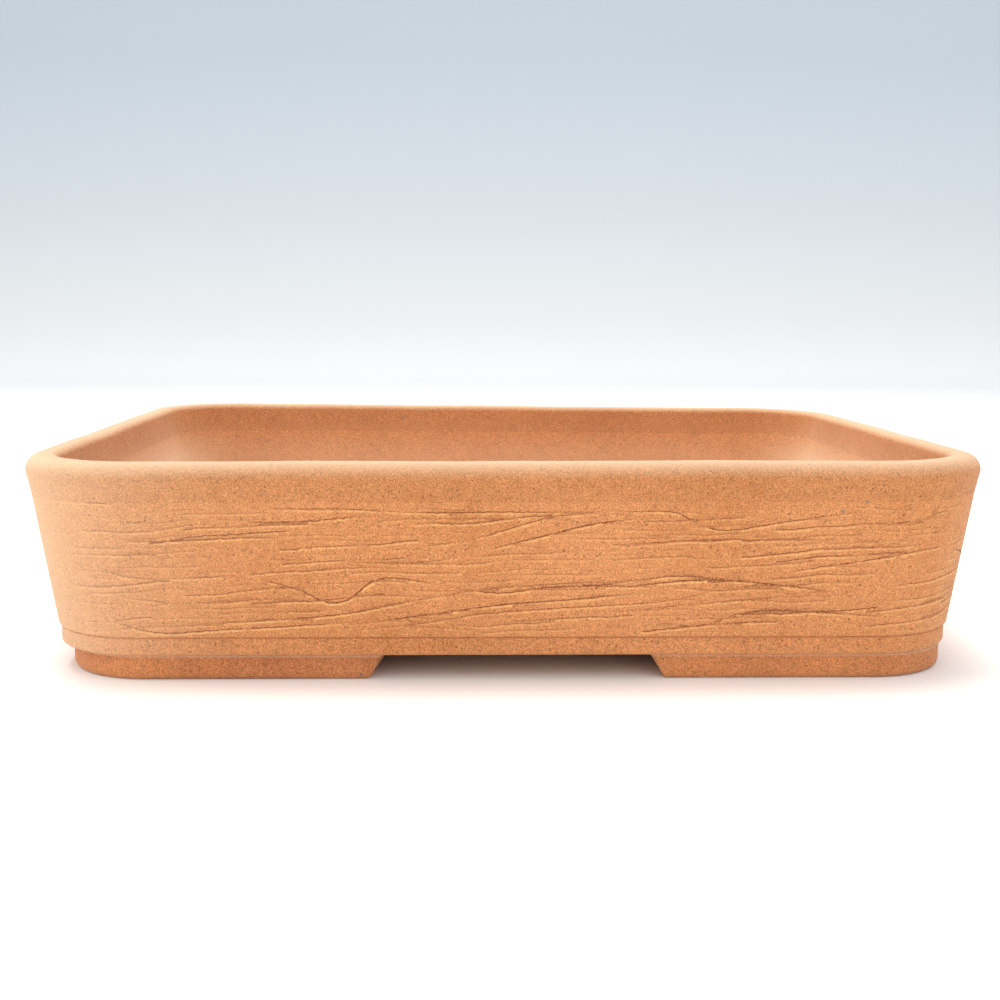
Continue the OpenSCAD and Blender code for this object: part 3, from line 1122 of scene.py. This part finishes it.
def stoneware(name, body, toast, sand_light, grain_bump=0.19 * MM):
    """Unglazed stoneware with its sand and specks, dragged lines with painted shade and painted highlights,
    and painted light.
    """
    clay = bpy.data.materials.new(name)
    clay.use_nodes = True
    tree = clay.node_tree
    shader = tree.nodes["Principled BSDF"]
    place = add_node(tree, "ShaderNodeTexCoord").outputs["Object"]
    grains = add_node(tree, NOISE, Vector=place, Scale=1 / grain_size, Detail=2.0, Roughness=0.7)
    cut, burr = line_marks(tree, place)
    slip = add_node(tree, "ShaderNodeAttribute", attribute_name="slip").outputs["Fac"]

    colour = sandy_colour(tree, place, grains, body, toast, sand_light)
    colour = add_specks(tree, place, colour)
    # Painted shade in the cut of each line, a painted highlight on its burr, and the pale painted light that
    # the mesh carries.
    for mark, strength, code in ((cut, 1.35, "#92491b"), (burr, 1.2, "#f0ba78"), (slip, 0.46, "#ebd8b9")):
        share = add_node(tree, MATH, mark, strength, operation="MULTIPLY", use_clamp=True)
        colour = add_node(tree, MIX, share, colour, srgb(code), data_type="RGBA")
    tree.links.new(shown_output(colour), shader.inputs["Base Color"])

    shader.inputs["IOR"].default_value = 1.5
    shader.inputs["Specular IOR Level"].default_value = 0.5
    shader.inputs["Diffuse Roughness"].default_value = 0.7
    shader.inputs["Sheen Weight"].default_value = 0.1
    shader.inputs["Sheen Roughness"].default_value = 0.4
    rough = add_node(tree, RAMP, grains, stops=[(0.3, 0.9), (0.7, 0.72)])
    tree.links.new(rough.outputs["Color"], shader.inputs["Roughness"])

    fine = add_node(tree, NOISE, Vector=place, Scale=1 / fine_grain_size, Detail=1.0)
    fine = add_node(tree, MATH, fine, 0.5, operation="MULTIPLY")
    relief = add_node(tree, MATH, grains, fine, operation="ADD")
    low = add_node(tree, MATH, cut, cut_in_bump, operation="MULTIPLY")
    relief = add_node(tree, MATH, relief, low, operation="SUBTRACT")
    high = add_node(tree, MATH, burr, burr_in_bump, operation="MULTIPLY")
    relief = add_node(tree, MATH, relief, high, operation="ADD")
    bump = add_node(tree, "ShaderNodeBump", Strength=1.0, Distance=grain_bump, Height=relief)
    tree.links.new(bump.outputs["Normal"], shader.inputs["Normal"])
    return clay


# The lip clay and the foot clay are darker than the wall clay, as painted shade.
WALL_CLAY = stoneware("sandy_stoneware_wall", "#cd8c56", "#c17e46", "#dda36a")
LIP_CLAY = stoneware("sandy_stoneware_lip", "#c58550", "#b97740", "#d59b63", grain_bump=0.24 * MM)
FLOOR_CLAY = stoneware("sandy_stoneware_floor", "#cb8954", "#bf7c45", "#db9f66")
FOOT_CLAY = stoneware("sandy_stoneware_foot", "#ca854f", "#b26b3e", "#d6975f")
print("materials:", [m.name for m in bpy.data.materials if m.name.startswith("sandy")])

# %% [markdown]
# ## Finishing the pieces
#
# The tree is put on each piece, its inputs are set, and the result is turned into a plain mesh. Then
# the piece is named after the CAD node it stands for, that node is hidden, and the piece is attached to
# the root body with the clay material of its kind.

# %% Run the tree and fix the result
def socket_id(tree, name):
    return next(item.identifier for item in tree.interface.items_tree
                if item.item_type == "SOCKET" and item.in_out == "INPUT" and item.name == name)


def finish_clay(piece, clay):
    """Runs the surface tree on a piece and keeps the result as its plain mesh."""
    modifier = piece.modifiers.new("fired_clay", "NODES")
    modifier.node_group = surface_tree
    modifier[socket_id(surface_tree, "Bold routes")] = bold_routes
    modifier[socket_id(surface_tree, "Clay")] = clay
    view = bpy.context.evaluated_depsgraph_get()
    fixed = bpy.data.meshes.new_from_object(piece.evaluated_get(view))
    piece.modifiers.clear()
    old = piece.data
    piece.data = fixed
    bpy.data.meshes.remove(old)
    fixed.name = piece.name
    fixed.polygons.foreach_set("use_smooth", [True] * len(fixed.polygons))
    fixed.set_sharp_from_angle(angle=math.radians(50))


CLAY_OF = {"wall": ("fired_wall_clay", WALL_CLAY), "lip": ("fired_lip_clay", LIP_CLAY),
           "coil": ("fired_floor_clay", FLOOR_CLAY), "slab": ("fired_floor_clay", FLOOR_CLAY),
           "foot": ("fired_foot_clay", FOOT_CLAY)}
for name, piece in pieces.items():
    slot, clay = next(value for key, value in CLAY_OF.items() if key in name)
    finish_clay(piece, clay)
    piece.name = name + "_clay"
    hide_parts(name)
    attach(piece, "root")
bpy.data.objects.remove(bold_routes)
triangles = {p.name: sum(len(f.vertices) - 2 for f in p.data.polygons) for p in pieces.values()}
print("triangles:", triangles, "all", sum(triangles.values()))

# %% [markdown]
# ## Studio
#
# A pale seamless sweep of paper, a broad soft light overhead, and weaker ones from the left and the
# front. The pot's top faces are the brightest, its front is even, and a soft dark shade gathers under the
# floor between the feet. The paper is painted from white to a cool pale grey as it rises behind the pot,
# a painted shade where less light reaches it.

# %% Paper sweep
sweep_half_width = 3.0
sweep_near = -2.0
sweep_far = 1.6
sweep_rise = 2.5
sweep_bend = 0.8
fade_with_distance = 0.03


def graduated_paper():
    """Matt paper, white on the floor, painted cooler and darker as it rises behind the pot: painted shade.
    """
    paper = bpy.data.materials.new("graduated_paper")
    paper.use_nodes = True
    tree = paper.node_tree
    shader = tree.nodes["Principled BSDF"]
    shader.inputs["Roughness"].default_value = 0.9
    place = add_node(tree, SEPARATE, add_node(tree, "ShaderNodeTexCoord").outputs["Object"])
    distance = add_node(tree, MATH, place.outputs["Y"], fade_with_distance, operation="MULTIPLY")
    fade = add_node(tree, MATH, place.outputs["Z"], distance, operation="ADD")
    # Painted shade: the paper gets darker and cooler higher up and further back.
    tone = add_node(tree, RAMP, fade, stops=[
        (0.015, srgb("#fafafa")), (0.07, srgb("#f9f9f8")), (0.16, srgb("#eceeed")),
        (0.38, srgb("#d9e0e5")), (0.71, srgb("#c9d3dc"))])
    tree.links.new(tone.outputs["Color"], shader.inputs["Base Color"])
    return paper


def make_sweep():
    """A floor that curves up into a backdrop behind the pot."""
    bend = sweep_bend
    quarter = np.linspace(0, math.pi / 2, 16)
    arc = [(sweep_far + bend * math.sin(a), bend - bend * math.cos(a)) for a in quarter]
    route = [(sweep_near, 0.0)] + arc + [(sweep_far + bend, sweep_rise)]
    points = [(x, y, z) for y, z in route for x in (-sweep_half_width, sweep_half_width)]
    faces = [(2 * k, 2 * k + 1, 2 * k + 3, 2 * k + 2) for k in range(len(route) - 1)]
    mesh = bpy.data.meshes.new("studio_sweep")
    mesh.from_pydata(points, [], faces)
    mesh.polygons.foreach_set("use_smooth", [True] * len(mesh.polygons))
    sweep_object = bpy.data.objects.new("studio_sweep", mesh)
    bpy.context.collection.objects.link(sweep_object)
    mesh.materials.append(graduated_paper())


make_sweep()
print("sweep reaches", sweep_far + sweep_bend, "m behind the pot")

# %% Lights
def add_light(name, place, aim, size, power, code):
    """A soft rectangular light at one place that points at another."""
    lamp = bpy.data.lights.new(name, "AREA")
    lamp.shape = "RECTANGLE"
    lamp.size, lamp.size_y = size
    lamp.energy = power
    lamp.color = srgb(code)[:3]
    holder = bpy.data.objects.new(name, lamp)
    holder.location = place
    holder.rotation_euler = (Vector(aim) - Vector(place)).to_track_quat("-Z", "Y").to_euler()
    bpy.context.collection.objects.link(holder)


add_light("overhead_key", (-0.1, 0.22, 1.2), (0, 0, 0.03), (0.9, 0.9), 16.5, "#fffaf4")
add_light("left_fill", (-1.2, -0.15, 0.45), (-0.1, 0, 0.03), (0.7, 0.7), 4.5, "#fff4e4")
add_light("front_fill", (0.2, -1.5, 0.9), (0, -0.2, 0), (1.6, 1.0), 6.3, "#fff6ea")

world = bpy.data.worlds.new("soft_daylight")
world.use_nodes = True
world.node_tree.nodes["Background"].inputs["Color"].default_value = srgb("#f3f5f7")
world.node_tree.nodes["Background"].inputs["Strength"].default_value = 0.98
bpy.context.scene.world = world
bpy.context.scene.view_settings.view_transform = "Standard"

# %% Camera
camera_place = Vector((-13.5, -532.5, 115.2)) * MM
camera_turn = -1.48
camera_dip = 7.9
camera_roll = 0.22
sensor_width_mm = 36
lens_over_sensor = 1.37
camera_data = bpy.data.cameras.new("camera")
camera_data.sensor_width = sensor_width_mm
camera_data.lens = sensor_width_mm * lens_over_sensor
camera_data.clip_start = 0.01
camera = bpy.data.objects.new("camera", camera_data)
camera.matrix_world = (Matrix.Translation(camera_place)
                       @ Matrix.Rotation(math.radians(camera_turn), 4, "Z")
                       @ Matrix.Rotation(math.radians(90 - camera_dip), 4, "X")
                       @ Matrix.Rotation(math.radians(camera_roll), 4, "Z"))
bpy.context.collection.objects.link(camera)
bpy.context.scene.camera = camera
print("camera", [round(v, 3) for v in camera_place], "lens", round(camera_data.lens, 1))
